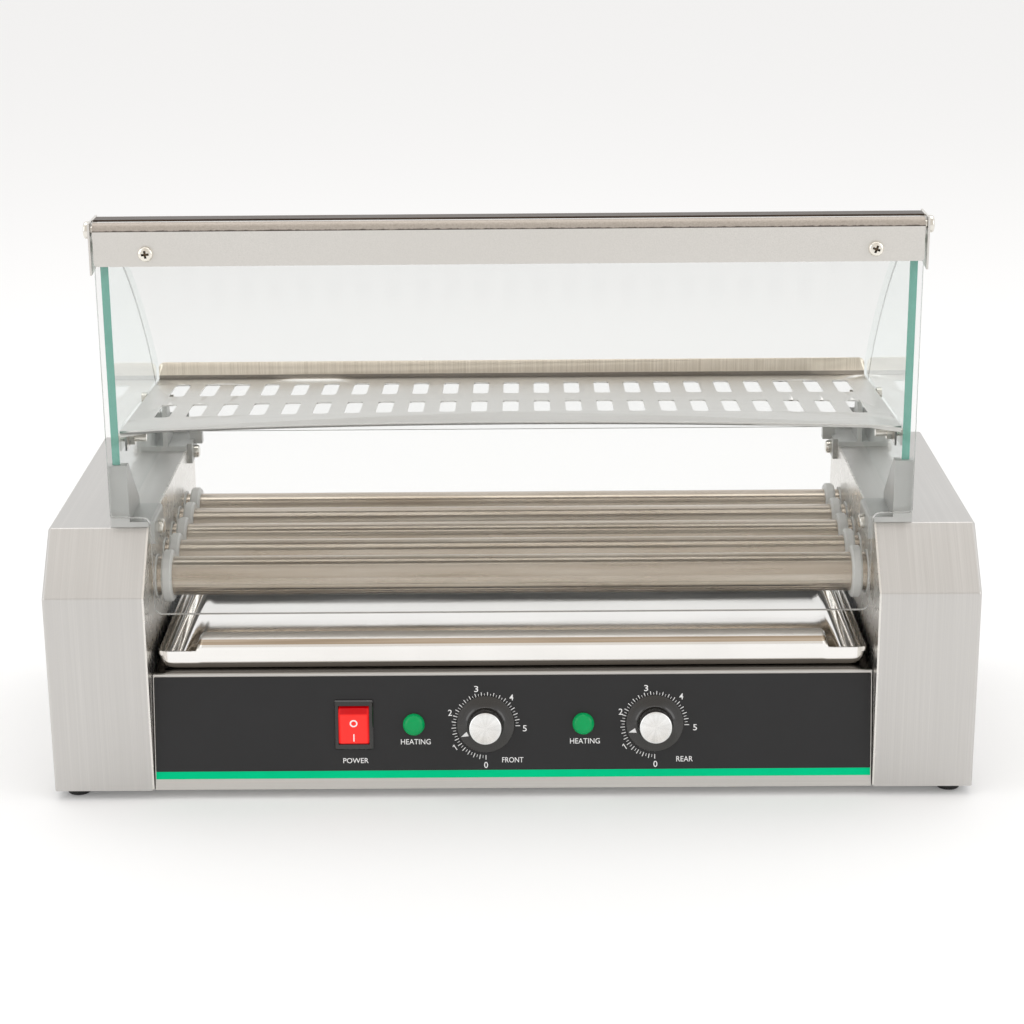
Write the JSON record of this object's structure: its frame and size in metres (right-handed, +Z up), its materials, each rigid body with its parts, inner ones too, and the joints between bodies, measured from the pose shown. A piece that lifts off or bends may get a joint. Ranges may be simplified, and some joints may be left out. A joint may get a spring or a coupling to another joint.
{
  "type": "hot dog roller grill",
  "caption": "Countertop hot dog roller grill with heated steel rollers, clear hood with lift-up front flap, bun shelf and pull-out drip tray.",
  "frame": {"origin": "on the bench, under the middle of the cabinet's footprint (half its width and half its depth)", "axes": "+X along the rollers towards the right-hand housing seen from the control side, +Y from the control panel to the back, +Z up"},
  "size_m": [0.58, 0.2625, 0.3636],
  "materials": {
    "brushed_steel": "satin vertical grain",
    "wall_steel": "polished",
    "zinc_steel": "plain",
    "roller_steel": "polished",
    "tray_steel": "mirror polished",
    "screw_steel": "polished",
    "bracket_alu": "satin anodised",
    "black_overlay": "satin",
    "green_stripe": "satin print",
    "white_print": "matt print",
    "black_plastic": "glossy",
    "red_lens": "glossy translucent",
    "green_lens": "glossy translucent",
    "knob_cap": "spun",
    "white_ptfe": "translucent matt",
    "rubber": "matt",
    "clear_glass": "clear, green edge",
    "clear_sheet": "clear",
    "cream_plastic": "matt"
  },
  "bodies": {
    "frame": {"left_end_cover": "brushed_steel", "right_end_cover": "brushed_steel", "left_inner_wall": "wall_steel", "right_inner_wall": "wall_steel", "base_pan": "zinc_steel", "tray_deck": "wall_steel", "rear_panel": "zinc_steel", "control_panel": "brushed_steel", "panel_overlay": "black_overlay", "accent_stripe": "green_stripe", "dial_marks": "white_print", "switch_body": "black_plastic", "indicator_lamps": "green_lens", "thermostats": "black_plastic", "roller_bushes": "white_ptfe", "heating_rods": "roller_steel", "heater_brackets": "zinc_steel", "drive_chain": "zinc_steel", "gear_motor": "zinc_steel", "motor_bracket": "zinc_steel", "terminal_block": "cream_plastic", "cable_gland": "black_plastic", "rubber_feet": "rubber", "panel_studs": "screw_steel", "side_glass_left": "clear_glass", "side_glass_right": "clear_glass", "rear_sheet": "clear_sheet", "front_brackets": "bracket_alu", "rear_brackets": "bracket_alu", "bracket_screws": "screw_steel", "hood_channel": "brushed_steel", "hood_screws": "screw_steel", "pivot_screws": "screw_steel", "bun_shelf": "brushed_steel", "shelf_fasteners": "screw_steel"},
    "rocker": {"power_rocker": "red_lens"},
    "knob_front": {"knob_front_skirt": "black_plastic", "knob_front_cap": "knob_cap"},
    "knob_rear": {"knob_rear_skirt": "black_plastic", "knob_rear_cap": "knob_cap"},
    "drive": {"drive_sprocket": "zinc_steel"},
    "flap": {"flap_plate": "brushed_steel", "front_sheet": "clear_sheet", "flap_screws": "screw_steel"},
    "tray": {"drip_tray": "tray_steel"},
    "roller_1": {"roller_tube_1": "roller_steel", "roller_collars_1": "white_ptfe", "sprocket_1": "zinc_steel"},
    "roller_2": {"roller_tube_2": "roller_steel", "roller_collars_2": "white_ptfe", "sprocket_2": "zinc_steel"},
    "roller_3": {"roller_tube_3": "roller_steel", "roller_collars_3": "white_ptfe", "sprocket_3": "zinc_steel"},
    "roller_4": {"roller_tube_4": "roller_steel", "roller_collars_4": "white_ptfe", "sprocket_4": "zinc_steel"},
    "roller_5": {"roller_tube_5": "roller_steel", "roller_collars_5": "white_ptfe", "sprocket_5": "zinc_steel"}
  },
  "joints": [
    {"name": "roller_1_spin", "type": "hinge", "parent": "frame", "child": "roller_1", "pos_m": [0, -0.0625, 0.1293], "axis": [1, 0, 0], "continuous": true},
    {"name": "roller_2_spin", "type": "hinge", "parent": "frame", "child": "roller_2", "pos_m": [0, -0.0284, 0.1293], "axis": [1, 0, 0], "continuous": true},
    {"name": "roller_3_spin", "type": "hinge", "parent": "frame", "child": "roller_3", "pos_m": [0, 0.0057, 0.1293], "axis": [1, 0, 0], "continuous": true},
    {"name": "roller_4_spin", "type": "hinge", "parent": "frame", "child": "roller_4", "pos_m": [0, 0.0398, 0.1293], "axis": [1, 0, 0], "continuous": true},
    {"name": "roller_5_spin", "type": "hinge", "parent": "frame", "child": "roller_5", "pos_m": [0, 0.0739, 0.1293], "axis": [1, 0, 0], "continuous": true},
    {"name": "drive_spin", "type": "hinge", "parent": "frame", "child": "drive", "pos_m": [-0.2345, 0.0057, 0.072], "axis": [1, 0, 0], "continuous": true},
    {"name": "flap_hinge", "type": "hinge", "parent": "frame", "child": "flap", "pos_m": [0, -0.088, 0.3583], "axis": [-1, 0, 0], "range_deg": [0, 105]},
    {"name": "tray_slide", "type": "slide", "parent": "frame", "child": "tray", "axis": [0, -1, 0], "range_m": [0, 0.2]},
    {"name": "knob_front_turn", "type": "hinge", "parent": "frame", "child": "knob_front", "pos_m": [-0.0169, -0.1139, 0.0468], "axis": [0, 0.9831, -0.1831], "range_deg": [-63, 207]},
    {"name": "knob_rear_turn", "type": "hinge", "parent": "frame", "child": "knob_rear", "pos_m": [0.0896, -0.1139, 0.0468], "axis": [0, 0.9831, -0.1831], "range_deg": [-71, 199]},
    {"name": "power_rock", "type": "hinge", "parent": "frame", "child": "rocker", "pos_m": [-0.1, -0.11292, 0.04661], "axis": [-1, 0, 0], "range_deg": [0, 14]}
  ],
  "couplings": [
    {"joint": "roller_2_spin", "follows": "roller_1_spin", "ratio": 1},
    {"joint": "roller_3_spin", "follows": "roller_1_spin", "ratio": 1},
    {"joint": "roller_4_spin", "follows": "roller_1_spin", "ratio": 1},
    {"joint": "roller_5_spin", "follows": "roller_1_spin", "ratio": 1},
    {"joint": "drive_spin", "follows": "roller_1_spin", "ratio": 1}
  ]
}
